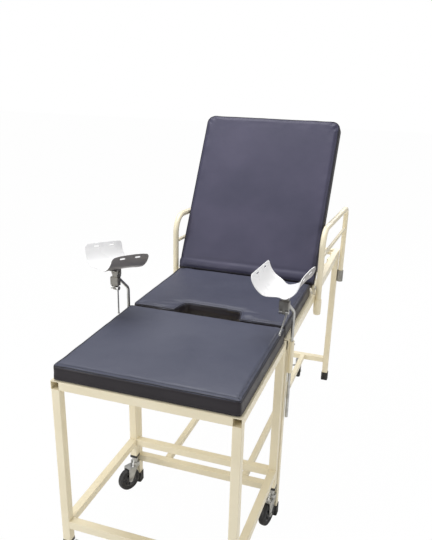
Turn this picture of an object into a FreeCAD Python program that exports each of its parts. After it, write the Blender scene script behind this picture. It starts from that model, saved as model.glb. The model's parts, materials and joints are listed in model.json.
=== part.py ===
import FreeCAD
import Part
import math
import os

os.makedirs("parts", exist_ok=True)

# Obstetric delivery table in two sections: a main section with a seat, a raised backrest,
# grab rails and knee crutches, and a foot section on four castors that rolls away.
# X runs across the table, +Y towards the head end, Z up from the floor.

V = FreeCAD.Vector
X_AXIS = V(1, 0, 0)
Y_AXIS = V(0, 1, 0)
Z_AXIS = V(0, 0, 1)

# Whole table
LENGTH = 1840.0
MAIN_WIDTH = 638.0
FOOT_WIDTH = 630.0
FRAME_TOP = 785.0
FOOT_LENGTH = 566.0
SEAM_GAP = 8.0

# Tubes and sheets
LEG = 30.0
RAIL_WIDTH = 30.0
RAIL_DEPTH = 38.0
RUNNER = 25.0
BACK_TUBE = 25.0
WALL = 1.5
TUBE_CORNER = 3.0
SHEET = 1.5

# Mattresses
MATTRESS = 55.0
MATTRESS_EDGE = 9.0
FOOT_PAD_MARGIN = 2.0
SEAT_PAD_MARGIN = 11.0
PAD_CORNER = 14.0
BACK_PAD_CORNER = 40.0
BACK_FOOT_CORNER = 10.0
BACK_PAD_EDGE = 12.0
POCKET_CLEAR = 0.8
POCKET_END = 5.0
NOTCH_MOUTH = 256.0
NOTCH_BACK = 228.0
NOTCH_DEPTH = 82.0
NOTCH_CORNER = 16.0

# Heights of the low bars
FOOT_LEG_END = 158.0
FOOT_LOW_BAR = 211.0
MAIN_LOW_BAR = 110.0
RUNNER_OFFSET = 170.0

# Backrest, its hinge and its ratchet prop
HINGE_FROM_FOOT = 1096.0
HINGE_RISE = 25.5
BACK_ANGLE = 59.6
BACK_LENGTH = 764.0
BACK_PAD_START = 2.0
SEAT_TO_HINGE = 21.5
BACK_FRAME_MARGIN = 44.0
HINGE_PIN = 10.0
HINGE_PLATE = 5.0
HINGE_LUG_INSET = 1.0
HINGE_LUG_RADIUS = 12.0
EAR = 4.5
EAR_GAP = 0.7
EAR_LENGTH = 70.0
PIN_HEAD = 3.0
BACK_DECK_LENGTH = 748.0
BACK_FRAME_START = 25.0
BACK_FRAME_END = 710.0
PROP_AT = 290.0
PROP_LENGTH = 390.0
PROP_BAR_DROP = 37.0
PROP_STRIP = 6.0
PROP_STRIP_DEPTH = 24.0
PROP_GAP = 4.0
RACK_DEPTH = 25.0
RACK_THICKNESS = 10.0
RACK_PITCH = 26.0
RACK_TEETH = 10
STRAP = 6.0
STRAP_WIDTH = 30.0
PROP_BAR = 16.0
PROP_RIDE = 0.8

# Grab rails at the sides of the backrest
GRAB_TUBE = 25.0
GRAB_WALL = 1.5
GRAB_FRONT_TOP = 1080.0
GRAB_REAR_TOP = 1026.0
GRAB_FRONT_FROM_FOOT = 1100.0
GRAB_FRONT_BEND = 75.0
GRAB_REAR_BEND = 45.0
GRAB_BAR = 16.0
GRAB_BAR_FRONT = 950.0
GRAB_BAR_REAR = 905.0
GRAB_SOCKET_LOW = 690.0
GRAB_SOCKET_HIGH = 760.0
GRAB_SOCKET_WALL = 3.4
GRAB_SOCKET_FLOOR = 4.0
GRAB_STAND_OFF = 16.0
COLLAR_LOW = 610.0
COLLAR_HIGH = 672.0
COLLAR_WALL = 3.4

# Crutches: socket, bent rod, clamp and saddle
ROD = 12.0
ROD_LOW = 460.0
ROD_BEND_RISE = 67.0
ROD_BEND_DROP = 26.0
ROD_BEND_RADIUS = 30.0
ROD_TOP_RADIUS = 16.0
ROD_FORWARD = 84.0
LEFT_ROD_OUT = -3.0
RIGHT_ROD_OUT = -14.0
SOCKET_OUTER = 20.0
SOCKET_LOW = 652.0
SOCKET_HIGH = 780.0
SOCKET_PLATE = 3.0
CLAMP_HEIGHT = 30.0
CLAMP_DROP = 16.0
CLAMP_WIDTH = 36.0
CLAMP_DEPTH = 19.0
SLEEVE = 20.0
STUB_DROP = 4.0
TILT_HEIGHT = 988.0
TONGUE_WIDTH = 22.0
TONGUE_RADIUS = 11.0
TONGUE_SET = 12.0
BRACKET_PLATE = 3.0
BRACKET_GAP = 0.4
TILT_PIN = 8.0
LEVER_DROP = 11.0
LEVER_BOSS = 17.0
LEVER_BOSS_LENGTH = 34.0
LEVER_BAR = 6.0
LEVER_LENGTH = 100.0
LEVER_PIN = 8.0
LEFT_LEVER_TURN = 0.0
RIGHT_LEVER_TURN = -62.0
LEFT_SADDLE_TURN = -10.0
RIGHT_SADDLE_TURN = -2.0
SADDLE_RADIUS = 80.0
SADDLE_WALL = 2.5
SADDLE_HALF_LENGTH = 84.0
SADDLE_HALF_WAIST = 47.0
SADDLE_LIFT = 17.0
SADDLE_CORNER = 32.0
RIM_TRIM = 0.5
SLOT_LENGTH = 26.0
SLOT_WIDTH = 6.0
SLOT_BELOW_EDGE = 15.0
SLOT_SPACING = 66.0
LOCK_SCREW = 8.0
LOCK_HEAD = 18.0
LOCK_BELOW = 22.0

# Castors and shoes
FOOT_WHEEL = 100.0
FOOT_WHEEL_WIDTH = 27.0
MAIN_WHEEL = 75.0
MAIN_WHEEL_WIDTH = 22.0
WHEEL_CHAMFER = 3.0
HUB_STEP = 2.0
AXLE = 10.0
AXLE_HEAD = 2.5
CHEEK = 2.5
CHEEK_GAP = 1.5
CROWN_GAP = 4.0
TRAIL = 36.0
KINGPIN = 12.0
CUP = 38.0
CUP_HEIGHT = 14.0
CAP_HEIGHT = 11.0
SWIVEL_GAP = 0.4
REAR_CASTOR_OFFSET = 145.0
FRONT_LEFT_TURN = -18.0
FRONT_RIGHT_TURN = 22.0
REAR_LEFT_TURN = 154.0
REAR_RIGHT_TURN = 168.0
MAIN_LEFT_TURN = 168.0
MAIN_RIGHT_TURN = 196.0
PEDAL_LENGTH = 34.0
PEDAL_WIDTH = 16.0
PEDAL_THICKNESS = 3.0
SHOE_WALL = 2.8
SHOE_SOLE = 6.0
SHOE_HEIGHT = 46.0

# Clearances
RUNNING = 0.05
SEAT_CLEAR = 0.3
HINGE_GAP = 0.5
RUNNING_END = 1.0

# Places worked out from the sizes above
FOOT_END = -LENGTH / 2
HEAD_END = LENGTH / 2
FOOT_BACK = FOOT_END + FOOT_LENGTH
MAIN_FRONT = FOOT_BACK + SEAM_GAP
SIDE = MAIN_WIDTH / 2
FOOT_SIDE = FOOT_WIDTH / 2
PAD_BASE = FRAME_TOP + SHEET
PAD_TOP = PAD_BASE + MATTRESS
HINGE_Y = FOOT_END + HINGE_FROM_FOOT
HINGE_Z = PAD_BASE + HINGE_RISE
SEAT_BACK = HINGE_Y - SEAT_TO_HINGE
FRONT_LEG_Y = MAIN_FRONT + LEG / 2
REAR_LEG_Y = HEAD_END - LEG / 2
LEG_X = SIDE - LEG / 2
FOOT_LEG_X = FOOT_SIDE - LEG / 2
RAIL_INNER = SIDE - RAIL_WIDTH
RAIL_LOW = FRAME_TOP - RAIL_DEPTH
BACK_TUBE_LOW = FRAME_TOP - BACK_TUBE
BACK_HALF = SIDE - BACK_FRAME_MARGIN
HINGE_LUG_OUTER = SIDE - HINGE_LUG_INSET
HINGE_LUG_INNER = HINGE_LUG_OUTER - HINGE_PLATE
EAR_OUTER = HINGE_LUG_INNER - EAR_GAP
EAR_INNER = EAR_OUTER - EAR
BACK_TUBE_Z = FRAME_TOP - BACK_TUBE / 2
PROP_Y = HINGE_Y + PROP_AT
GRAB_X = SIDE + GRAB_STAND_OFF
GRAB_FRONT_Y = FOOT_END + GRAB_FRONT_FROM_FOOT
ROD_X = SIDE + SOCKET_OUTER / 2
CLAMP_HIGH = TILT_HEIGHT - CLAMP_DROP
CLAMP_LOW = CLAMP_HIGH - CLAMP_HEIGHT
ROD_BEND_HIGH = TILT_HEIGHT - ROD_BEND_DROP
ROD_BEND_LOW = ROD_BEND_HIGH - ROD_BEND_RISE
STUB_TOP = TILT_HEIGHT - STUB_DROP
PROP_BAR_HEIGHT = FRAME_TOP - PROP_BAR_DROP
RACK_TOP = PROP_BAR_HEIGHT - PROP_BAR / 2 - PROP_RIDE
RACK_INNER = RAIL_INNER - STRAP - RACK_THICKNESS
SIDES = (("left", -1), ("right", 1))


def turned(shape, axis, degrees, centre):
    copy = shape.copy()
    copy.rotate(centre, axis, degrees)
    return copy


def raised(shape):
    """A backrest piece, modelled flat, at the angle it rests at."""
    return turned(shape, X_AXIS, BACK_ANGLE, V(0, HINGE_Y, HINGE_Z))


def block(x0, x1, y0, y1, z0, z1):
    return Part.makeBox(x1 - x0, y1 - y0, z1 - z0, V(x0, y0, z0))


def cylinder(radius, start, end):
    span = end - start
    return Part.makeCylinder(radius, span.Length, start, span)


def tube_of(outer, inner, start, end):
    return cylinder(outer, start, end).cut(cylinder(inner, start, end))


def edges_along(shape, axis):
    found = []
    for edge in shape.Edges:
        if edge.Curve.TypeId != "Part::GeomLine":
            continue
        direction = edge.tangentAt(edge.FirstParameter)
        if abs(direction.dot(axis)) > 0.999:
            found.append(edge)
    return found


def box_tube(axis, x0, x1, y0, y1, z0, z1):
    """A hollow rectangular tube along one axis, open at its two ends."""
    outer = block(x0, x1, y0, y1, z0, z1)
    outer = outer.makeFillet(TUBE_CORNER, edges_along(outer, axis))
    along = [WALL * (1 - abs(component)) for component in (axis.x, axis.y, axis.z)]
    inner = block(x0 + along[0], x1 - along[0], y0 + along[1], y1 - along[1], z0 + along[2], z1 - along[2])
    return outer.cut(inner)


def polygon_prism(points, normal_shift):
    wire = Part.makePolygon(points + [points[0]])
    return Part.Face(wire).extrude(normal_shift)


def group(solids):
    if len(solids) == 1:
        return solids[0]
    return Part.makeCompound(solids)


def write(name, solids):
    group(solids).exportStep("parts/" + name + ".step")


def both_sides(make):
    """The same piece at the left and at the right of the table."""
    return [make(sign) for _, sign in SIDES]


# Frames

def side_tube(outer_x, width, sign, y0, y1, z0, z1):
    inner = sign * (outer_x - width)
    outer = sign * outer_x
    return box_tube(Y_AXIS, min(inner, outer), max(inner, outer), y0, y1, z0, z1)


def leg_tube(x, y, z0, z1):
    return box_tube(Z_AXIS, x - LEG / 2, x + LEG / 2, y - LEG / 2, y + LEG / 2, z0, z1)


def cross_tube(half, y0, y1, z0, z1):
    return box_tube(X_AXIS, -half, half, y0, y1, z0, z1)


def foot_frame():
    leg_ys = (FOOT_END + LEG / 2, FOOT_BACK - LEG / 2)
    inner = FOOT_SIDE - LEG
    top_low = FRAME_TOP - LEG
    low_top = FOOT_LOW_BAR + LEG
    legs = [leg_tube(sign * FOOT_LEG_X, y, FOOT_LEG_END, top_low) for _, sign in SIDES for y in leg_ys]
    top = []
    low = []
    for _, sign in SIDES:
        top.append(side_tube(FOOT_SIDE, LEG, sign, FOOT_END, FOOT_BACK, top_low, FRAME_TOP))
        low.append(side_tube(FOOT_SIDE, LEG, sign, FOOT_END + LEG, FOOT_BACK - LEG, FOOT_LOW_BAR, low_top))
    for y in leg_ys:
        top.append(cross_tube(inner, y - LEG / 2, y + LEG / 2, top_low, FRAME_TOP))
        low.append(cross_tube(inner, y - LEG / 2, y + LEG / 2, FOOT_LOW_BAR, low_top))
    write("foot_legs", legs)
    write("foot_top_rails", top)
    write("foot_low_rails", low)
    write("foot_deck", [block(-FOOT_SIDE, FOOT_SIDE, FOOT_END, FOOT_BACK, FRAME_TOP, PAD_BASE)])


def main_frame():
    inner = SIDE - LEG
    leg_ys = (FRONT_LEG_Y, REAR_LEG_Y)
    legs = [leg_tube(sign * LEG_X, y, SHOE_SOLE, RAIL_LOW) for _, sign in SIDES for y in leg_ys]
    rails = []
    for _, sign in SIDES:
        rails.append(side_tube(SIDE, RAIL_WIDTH, sign, MAIN_FRONT, HEAD_END, RAIL_LOW, FRAME_TOP))
    low_top = MAIN_LOW_BAR + LEG
    crossbars = [cross_tube(inner, y - LEG / 2, y + LEG / 2, MAIN_LOW_BAR, low_top) for y in leg_ys]
    middle = SEAT_BACK + SHEET + LEG / 2
    cross_rails = [
        cross_tube(RAIL_INNER, MAIN_FRONT, MAIN_FRONT + LEG, RAIL_LOW, RAIL_LOW + LEG),
        cross_tube(RAIL_INNER, middle - LEG, middle, FRAME_TOP - LEG, FRAME_TOP),
        cross_tube(RAIL_INNER, HEAD_END - LEG, HEAD_END, FRAME_TOP - LEG, FRAME_TOP),
    ]
    runner_low = low_top - RUNNER
    front_face = FRONT_LEG_Y + LEG / 2
    rear_face = REAR_LEG_Y - LEG / 2
    runners = []
    for _, sign in SIDES:
        x0 = sign * RUNNER_OFFSET - RUNNER / 2
        runners.append(box_tube(Y_AXIS, x0, x0 + RUNNER, front_face, rear_face, runner_low, low_top))
    write("main_legs", legs)
    write("main_side_rails", rails)
    write("main_cross_rails", cross_rails)
    write("main_low_crossbars", crossbars)
    write("main_runners", runners)


# Decks and mattresses

def notch_cutter(z0, z1):
    """The perineal cut-out: a trapezium that narrows towards the head, its corners rounded."""
    mouth = NOTCH_MOUTH / 2
    back = NOTCH_BACK / 2
    end = MAIN_FRONT + NOTCH_DEPTH
    start = MAIN_FRONT - NOTCH_CORNER
    points = [V(-mouth, start, z0), V(mouth, start, z0), V(back, end, z0), V(-back, end, z0)]
    prism = polygon_prism(points, V(0, 0, z1 - z0))
    corners = [edge for edge in edges_along(prism, Z_AXIS) if edge.CenterOfMass.y > MAIN_FRONT]
    return prism.makeFillet(NOTCH_CORNER, corners)


def pad(width, y0, y1, corner, head_corner, edge_radius):
    """A closed mattress block with rounded corners and softened top edges."""
    body = block(-width / 2, width / 2, y0, y1, PAD_BASE, PAD_TOP)
    middle = (y0 + y1) / 2
    for radius, at_head in ((corner, False), (head_corner, True)):
        chosen = [edge for edge in edges_along(body, Z_AXIS) if (edge.CenterOfMass.y > middle) == at_head]
        body = body.makeFillet(radius, chosen)
    rims = [edge for edge in body.Edges if abs(edge.CenterOfMass.z - PAD_TOP) < 0.01]
    return body.makeFillet(edge_radius, rims)


def hinge_pocket(sign, start):
    """The hollow in the back mattress for the deck's ear and for the lug beside it."""
    inner = sign * (EAR_INNER - POCKET_CLEAR)
    outer = sign * (SIDE + POCKET_CLEAR)
    end = start + EAR_LENGTH + POCKET_END
    top = HINGE_Z + HINGE_LUG_RADIUS + POCKET_CLEAR
    return block(min(inner, outer), max(inner, outer), start - POCKET_END, end, PAD_BASE - SHEET, top)


def soft_parts():
    foot_width = FOOT_WIDTH - 2 * FOOT_PAD_MARGIN
    write("foot_mattress", [pad(foot_width, FOOT_END, FOOT_BACK, PAD_CORNER, PAD_CORNER, MATTRESS_EDGE)])
    deck = block(-SIDE, SIDE, MAIN_FRONT, SEAT_BACK, FRAME_TOP, PAD_BASE)
    write("seat_deck", [deck.cut(notch_cutter(FRAME_TOP - SHEET, PAD_TOP))])
    seat_width = MAIN_WIDTH - 2 * SEAT_PAD_MARGIN
    seat = pad(seat_width, MAIN_FRONT, SEAT_BACK, PAD_CORNER, PAD_CORNER, MATTRESS_EDGE)
    write("seat_mattress", [seat.cut(notch_cutter(PAD_BASE - SHEET, PAD_TOP + SHEET))])
    start = HINGE_Y + BACK_PAD_START
    back = pad(MAIN_WIDTH, start, start + BACK_LENGTH, BACK_FOOT_CORNER, BACK_PAD_CORNER, BACK_PAD_EDGE)
    for _, sign in SIDES:
        back = back.cut(hinge_pocket(sign, start))
    write("back_mattress", [raised(back)])


# Backrest, hinge and ratchet

def back_frame():
    start = HINGE_Y + BACK_FRAME_START
    end = HINGE_Y + BACK_FRAME_END
    solids = []
    for _, sign in SIDES:
        inner = sign * (BACK_HALF - BACK_TUBE)
        outer = sign * BACK_HALF
        low_x = min(inner, outer)
        member = box_tube(Y_AXIS, low_x, low_x + BACK_TUBE, start, end, BACK_TUBE_LOW, FRAME_TOP)
        bore = across(HINGE_PIN / 2, sign, PROP_Y, BACK_TUBE_Z, BACK_HALF - BACK_TUBE - 1, BACK_HALF + 1)
        solids.append(member.cut(bore))
    half = BACK_HALF - BACK_TUBE
    for y in (start, PROP_Y - 2 * BACK_TUBE, end - BACK_TUBE):
        solids.append(cross_tube(half, y, y + BACK_TUBE, BACK_TUBE_LOW, FRAME_TOP))
    write("back_frame", [raised(solid) for solid in solids])


def back_deck():
    """The sheet under the mattress, with an ear folded up at each side that carries the hinge pin."""
    half = HINGE_LUG_INNER - HINGE_GAP
    start = HINGE_Y + BACK_PAD_START
    end = start + BACK_DECK_LENGTH
    deck = block(-half, half, start, end, FRAME_TOP, PAD_BASE)
    corners = [edge for edge in edges_along(deck, Z_AXIS) if edge.CenterOfMass.y > end - 1]
    deck = deck.makeFillet(BACK_PAD_CORNER, corners)
    for _, sign in SIDES:
        x0 = min(sign * EAR_INNER, sign * EAR_OUTER)
        nose = cylinder(HINGE_LUG_RADIUS, V(x0, HINGE_Y, HINGE_Z), V(x0 + EAR, HINGE_Y, HINGE_Z))
        low = PAD_BASE - SHEET / 2
        top = HINGE_Z + HINGE_LUG_RADIUS
        outline = [V(x0, start, low), V(x0, start + EAR_LENGTH, low), V(x0, HINGE_Y, top),
                   V(x0, HINGE_Y - HINGE_LUG_RADIUS, HINGE_Z)]
        ear = polygon_prism(outline, V(EAR, 0, 0)).fuse(nose)
        hole = across(HINGE_PIN / 2 + RUNNING, sign, HINGE_Y, HINGE_Z, EAR_INNER - 1, EAR_OUTER + 1)
        deck = deck.fuse(ear.cut(hole))
    write("back_deck", [raised(deck.removeSplitter())])


def across(radius, sign, y, z, inner_end, outer_end):
    return cylinder(radius, V(sign * inner_end, y, z), V(sign * outer_end, y, z))


def hinge():
    lugs = []
    pins = []
    for _, sign in SIDES:
        x0 = min(sign * HINGE_LUG_INNER, sign * HINGE_LUG_OUTER)
        half = HINGE_LUG_RADIUS + TUBE_CORNER
        foot = [V(x0, HINGE_Y - half, FRAME_TOP), V(x0, HINGE_Y + half, FRAME_TOP),
                V(x0, HINGE_Y + HINGE_LUG_RADIUS, HINGE_Z), V(x0, HINGE_Y - HINGE_LUG_RADIUS, HINGE_Z)]
        lug = polygon_prism(foot, V(HINGE_PLATE, 0, 0))
        lug = lug.fuse(across(HINGE_LUG_RADIUS, sign, HINGE_Y, HINGE_Z, HINGE_LUG_INNER, HINGE_LUG_OUTER))
        bore = across(HINGE_PIN / 2, sign, HINGE_Y, HINGE_Z, HINGE_LUG_INNER - 1, HINGE_LUG_OUTER + 1)
        lugs.append(lug.cut(bore))
        pin = across(HINGE_PIN / 2, sign, HINGE_Y, HINGE_Z, EAR_INNER, HINGE_LUG_OUTER)
        head_end = HINGE_LUG_OUTER + PIN_HEAD
        pins.append(pin.fuse(across(HINGE_PIN * 0.8, sign, HINGE_Y, HINGE_Z, HINGE_LUG_OUTER, head_end)))
    write("hinge_lugs", lugs)
    write("hinge_pins", pins)


def prop_rest():
    """The prop's pivot on the raised backrest, and how far its arms slope down to the racks."""
    pivot = raised(Part.Vertex(0, PROP_Y, BACK_TUBE_Z)).Point
    return pivot, math.degrees(math.asin((pivot.z - PROP_BAR_HEIGHT) / PROP_LENGTH))


def prop():
    """The arms and bar are made level, from the pivot towards the head, and turned down to the racks."""
    pivot, slope = prop_rest()
    end = pivot.y + PROP_LENGTH
    outer = BACK_HALF - BACK_TUBE - PROP_GAP
    inner = outer - PROP_STRIP
    half = PROP_STRIP_DEPTH / 2
    arms = []
    pins = []
    for _, sign in SIDES:
        low_x = min(sign * inner, sign * outer)
        arm = block(low_x, low_x + PROP_STRIP, pivot.y, end, pivot.z - half, pivot.z + half)
        for y in (pivot.y, end):
            arm = arm.fuse(across(half, sign, y, pivot.z, inner, outer))
        arm = arm.removeSplitter()
        arm = arm.cut(across(HINGE_PIN / 2 + RUNNING, sign, pivot.y, pivot.z, inner - 1, outer + 1))
        arm = arm.cut(across(PROP_BAR / 2, sign, end, pivot.z, inner - 1, outer + 1))
        arms.append(arm)
        pin = across(HINGE_PIN / 2, sign, pivot.y, pivot.z, inner - PIN_HEAD, BACK_HALF)
        face = inner - SEAT_CLEAR
        head = across(HINGE_PIN * 0.8, sign, pivot.y, pivot.z, face - PIN_HEAD, face)
        spacer = across(HINGE_PIN * 0.7, sign, pivot.y, pivot.z, outer + SEAT_CLEAR, outer + PROP_GAP)
        pins.append(pin.fuse(head).fuse(spacer))
    reach = RAIL_INNER - STRAP - 2 * RUNNING_END
    bar = cylinder(PROP_BAR / 2, V(-reach, end, pivot.z), V(reach, end, pivot.z))
    write("prop_arms", [turned(arm, X_AXIS, -slope, pivot) for arm in arms])
    write("prop_bar", [turned(bar, X_AXIS, -slope, pivot)])
    write("prop_pins", pins)


def rack(sign):
    """A toothed bar on straps below the side rail; its teeth stop the prop's bar towards the head."""
    pivot, slope = prop_rest()
    start = pivot.y + PROP_LENGTH * math.cos(math.radians(slope))
    low = RACK_TOP - RACK_DEPTH
    x0 = min(sign * RACK_INNER, sign * (RACK_INNER + RACK_THICKNESS))
    length = RACK_PITCH * RACK_TEETH
    bar = block(x0, x0 + RACK_THICKNESS, start - PROP_BAR / 2, start - PROP_BAR / 2 + length, low, RACK_TOP)
    floor = RACK_TOP - PROP_BAR * 0.6
    over = RACK_TOP + 1
    for index in range(RACK_TEETH):
        wall = start - PROP_BAR / 2 + (index + 0.72) * RACK_PITCH
        tooth_gap = [V(x0 - 1, wall, over), V(x0 - 1, wall, floor), V(x0 - 1, wall - RACK_PITCH / 4, floor),
                     V(x0 - 1, wall - RACK_PITCH * 0.7, over)]
        bar = bar.cut(polygon_prism(tooth_gap, V(RACK_THICKNESS + 2, 0, 0)))
    strap_x = min(sign * (RAIL_INNER - STRAP), sign * RAIL_INNER)
    for place in (0.08, 0.5, 0.92):
        y0 = start - PROP_BAR / 2 + place * length - STRAP_WIDTH / 2
        strap = block(strap_x, strap_x + STRAP, y0, y0 + STRAP_WIDTH, low, FRAME_TOP - TUBE_CORNER)
        bar = bar.fuse(strap)
    return bar.removeSplitter()


# Grab rails

def pipe(points, bends, outer, inner):
    """A round tube along straight runs in one plane, with an arc of its own radius at each corner."""
    edges = []
    start = points[0]
    for index, radius in enumerate(bends):
        corner = points[index + 1]
        before = (points[index] - corner).normalize()
        after = (points[index + 2] - corner).normalize()
        half = before.getAngle(after) / 2
        trim = radius / math.tan(half)
        first = corner + before * trim
        last = corner + after * trim
        middle_direction = (before + after).normalize()
        centre = corner + middle_direction * (radius / math.sin(half))
        middle = centre - middle_direction * radius
        edges.append(Part.LineSegment(start, first).toShape())
        edges.append(Part.Arc(first, middle, last).toShape())
        start = last
    edges.append(Part.LineSegment(start, points[-1]).toShape())
    path = Part.Wire(edges)
    direction = points[1] - points[0]
    shapes = []
    for radius in (outer, inner):
        if radius > 0:
            ring = Part.Wire(Part.makeCircle(radius, points[0], direction))
            shapes.append(path.makePipeShell([ring], True, False))
    if len(shapes) == 1:
        return shapes[0]
    return shapes[0].cut(shapes[1])


def grab_rail(name, sign):
    x = sign * GRAB_X
    radius = GRAB_TUBE / 2
    post_low = GRAB_SOCKET_LOW + GRAB_SOCKET_FLOOR + SEAT_CLEAR
    rear_low = COLLAR_LOW + COLLAR_WALL
    points = [
        V(x, GRAB_FRONT_Y, post_low),
        V(x, GRAB_FRONT_Y, GRAB_FRONT_TOP - radius),
        V(x, REAR_LEG_Y, GRAB_REAR_TOP - radius),
        V(x, REAR_LEG_Y, rear_low),
    ]
    hoop = pipe(points, (GRAB_FRONT_BEND, GRAB_REAR_BEND), radius, radius - GRAB_WALL)
    write(name + "_grab_rail", [hoop])
    front = V(x, GRAB_FRONT_Y, GRAB_BAR_FRONT)
    rear = V(x, REAR_LEG_Y, GRAB_BAR_REAR)
    bar = cylinder(GRAB_BAR / 2, front, rear)
    for end in (front, rear):
        bar = bar.cut(cylinder(radius, end - Z_AXIS * (2 * GRAB_BAR), end + Z_AXIS * (2 * GRAB_BAR)))
    write(name + "_grab_bar", [bar])


def grab_mounts():
    sockets = []
    collars = []
    bore = GRAB_TUBE / 2 + RUNNING
    for _, sign in SIDES:
        x = sign * GRAB_X
        outer = bore + GRAB_SOCKET_WALL
        y = GRAB_FRONT_Y
        socket = cylinder(outer, V(x, y, GRAB_SOCKET_LOW), V(x, y, GRAB_SOCKET_HIGH))
        rim = [edge for edge in socket.Edges if abs(edge.CenterOfMass.z - GRAB_SOCKET_LOW) < 0.1]
        socket = socket.makeFillet(TUBE_CORNER * 2, rim)
        x0 = min(sign * SIDE, sign * (SIDE + SOCKET_PLATE))
        gusset = [V(x0, y - outer, FRAME_TOP - TUBE_CORNER), V(x0, y + outer, FRAME_TOP - TUBE_CORNER),
                  V(x0, y + outer, RAIL_LOW), V(x0, y + bore / 2, GRAB_SOCKET_LOW + bore),
                  V(x0, y - bore / 2, GRAB_SOCKET_LOW + bore), V(x0, y - outer, RAIL_LOW)]
        socket = socket.fuse(polygon_prism(gusset, V(SOCKET_PLATE, 0, 0)))
        well = cylinder(bore, V(x, y, GRAB_SOCKET_LOW + GRAB_SOCKET_FLOOR), V(x, y, FRAME_TOP))
        sockets.append(socket.cut(well))
        outer = bore + COLLAR_WALL
        y = REAR_LEG_Y
        collar = cylinder(outer, V(x, y, COLLAR_LOW), V(x, y, COLLAR_HIGH))
        foot = block(min(sign * SIDE, x), max(sign * SIDE, x), y - bore / 2, y + bore / 2,
                     COLLAR_LOW + COLLAR_WALL, COLLAR_HIGH - COLLAR_WALL)
        hole = cylinder(bore, V(x, y, COLLAR_LOW - 1), V(x, y, COLLAR_HIGH + 1))
        collars.append(collar.fuse(foot).cut(hole))
    write("grab_rail_sockets", sockets)
    write("grab_rail_collars", collars)


# Crutches

def crutch_socket(sign):
    x = sign * ROD_X
    bore = ROD / 2 + RUNNING
    outer = SOCKET_OUTER / 2
    y = FRONT_LEG_Y
    tube = cylinder(outer, V(x, y, SOCKET_LOW), V(x, y, SOCKET_HIGH))
    x0 = min(sign * SIDE, sign * (SIDE + SOCKET_PLATE))
    plate = block(x0, x0 + SOCKET_PLATE, y - LEG / 2, y + LEG / 2, SOCKET_LOW + WALL, SOCKET_HIGH - WALL)
    lock = SOCKET_HIGH - LOCK_BELOW
    boss = cylinder(LOCK_SCREW, V(x, y, lock), V(x, y + LEG / 2, lock))
    body = tube.fuse(plate).fuse(boss)
    body = body.cut(cylinder(bore, V(x, y, SOCKET_LOW - 1), V(x, y, SOCKET_HIGH + 1)))
    return body.cut(cylinder(LOCK_SCREW / 2 + RUNNING, V(x, y, lock), V(x, y + LEG, lock)))


def lock_screw(sign):
    """A thumb screw behind the socket; its point stops just short of the rod."""
    x = sign * ROD_X
    lock = SOCKET_HIGH - LOCK_BELOW
    tip = FRONT_LEG_Y + ROD / 2 + RUNNING
    head = FRONT_LEG_Y + LEG / 2 + SEAT_CLEAR
    shank = cylinder(LOCK_SCREW / 2, V(x, tip, lock), V(x, head + LOCK_SCREW, lock))
    collar = cylinder(LOCK_SCREW * 0.9, V(x, head, lock), V(x, head + LOCK_SCREW, lock))
    wing = block(x - LOCK_HEAD / 2, x + LOCK_HEAD / 2, head + SEAT_CLEAR, head + LOCK_SCREW,
                 lock - LOCK_SCREW / 4, lock + LOCK_SCREW / 4)
    return shank.fuse(collar).fuse(wing)


def rod_top(sign):
    """Where the bent rod's upper run stands, over the edge of the foot section."""
    out = RIGHT_ROD_OUT if sign > 0 else LEFT_ROD_OUT
    return sign * (ROD_X + out), FRONT_LEG_Y - ROD_FORWARD


def crutch_rod(sign):
    x, y = rod_top(sign)
    low_x = sign * ROD_X
    points = [V(low_x, FRONT_LEG_Y, ROD_LOW), V(low_x, FRONT_LEG_Y, ROD_BEND_LOW), V(x, y, ROD_BEND_HIGH),
              V(x, y, STUB_TOP)]
    return pipe(points, (ROD_BEND_RADIUS, ROD_TOP_RADIUS), ROD / 2, 0)


def crutch_clamp(sign):
    """A block in front of the rod, a sleeve round the rod's stub and a tongue for the saddle bracket."""
    x, y = rod_top(sign)
    middle = y - TONGUE_SET
    back = y - SLEEVE / 2
    front = back - CLAMP_DEPTH
    half = CLAMP_WIDTH / 2
    body = block(x - half, x + half, front, back, CLAMP_LOW, CLAMP_HIGH)
    body = body.makeFillet(TUBE_CORNER, edges_along(body, Z_AXIS))
    tongue_half = TONGUE_WIDTH / 2
    near = middle - TONGUE_RADIUS
    far = middle + TONGUE_RADIUS
    tongue = block(x - tongue_half, x + tongue_half, near, far, CLAMP_HIGH - TUBE_CORNER, TILT_HEIGHT)
    knuckle = across(TONGUE_RADIUS, 1, middle, TILT_HEIGHT, x - tongue_half, x + tongue_half)
    sleeve = cylinder(SLEEVE / 2, V(x, y, CLAMP_HIGH), V(x, y, STUB_TOP - TUBE_CORNER))
    ear_low = CLAMP_LOW - LEVER_DROP
    lever_y = front + LEVER_BOSS / 2
    ear = block(x - tongue_half / 2, x + tongue_half / 2, front, front + LEVER_BOSS, ear_low, CLAMP_LOW)
    nose = across(LEVER_BOSS / 2, 1, lever_y, ear_low, x - tongue_half / 2, x + tongue_half / 2)
    body = body.fuse(tongue).fuse(knuckle).fuse(sleeve).fuse(ear).fuse(nose).removeSplitter()
    top = TILT_HEIGHT + 2 * TONGUE_RADIUS
    body = body.cut(cylinder(ROD / 2 + RUNNING, V(x, y, ROD_BEND_HIGH), V(x, y, top)))
    slope = cylinder(ROD / 2 + WALL, V(x, y, ROD_BEND_HIGH), V(sign * ROD_X, FRONT_LEG_Y, ROD_BEND_LOW))
    body = body.cut(slope).cut(Part.makeSphere(ROD / 2 + WALL, V(x, y, ROD_BEND_HIGH)))
    body = body.cut(across(TILT_PIN / 2 + RUNNING, 1, middle, TILT_HEIGHT, x - half, x + half))
    body = body.cut(across(LEVER_PIN / 2 + RUNNING, 1, lever_y, ear_low, x - half, x + half))
    return body, middle, V(x, lever_y, ear_low)


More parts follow.
